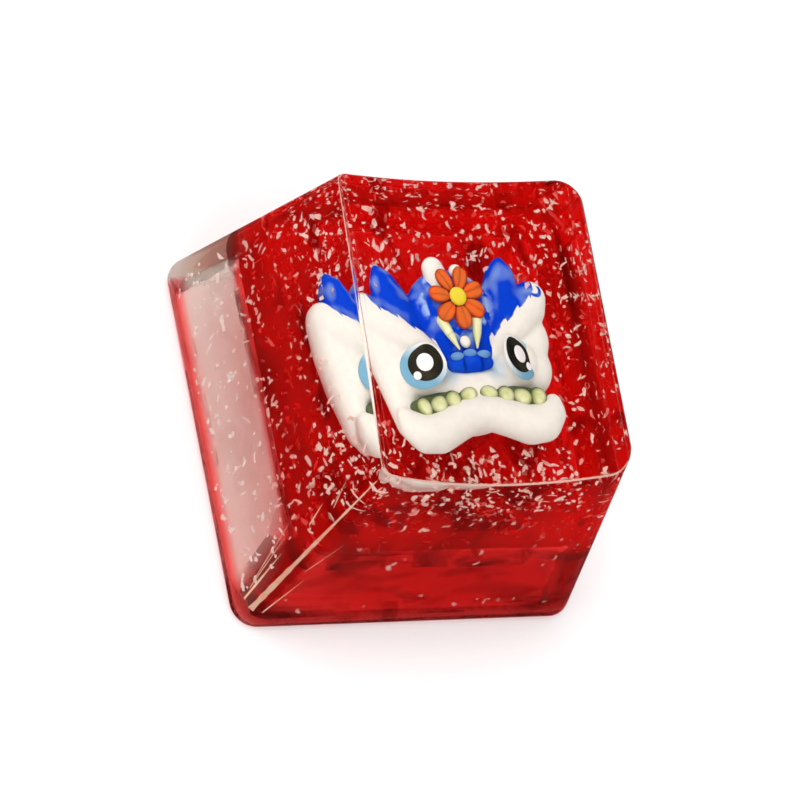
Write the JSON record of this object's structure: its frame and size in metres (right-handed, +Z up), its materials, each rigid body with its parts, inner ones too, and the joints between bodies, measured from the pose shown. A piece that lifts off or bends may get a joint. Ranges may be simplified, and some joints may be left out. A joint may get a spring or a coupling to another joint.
{
  "type": "keycap",
  "caption": "Cast red resin keycap with a dished top, a hollow tapered skirt, a cross-socket post for a key switch and a painted lion-dance head sealed inside.",
  "frame": {"origin": "middle of the base rim's plane, on the axis of the switch socket", "axes": "+Z up through the dished top, +Y to the back of the keyboard, -Y to the typist, +X to the typist's right"},
  "size_m": [0.018, 0.0181, 0.0124],
  "materials": {
    "red_resin": "clear red cast resin with fine pale glitter, polished",
    "figure_paint": "painted in white and blue, with an orange flower"
  },
  "bodies": {
    "root": {"resin_body": "red_resin", "lion_head": "figure_paint"}
  },
  "joints": []
}
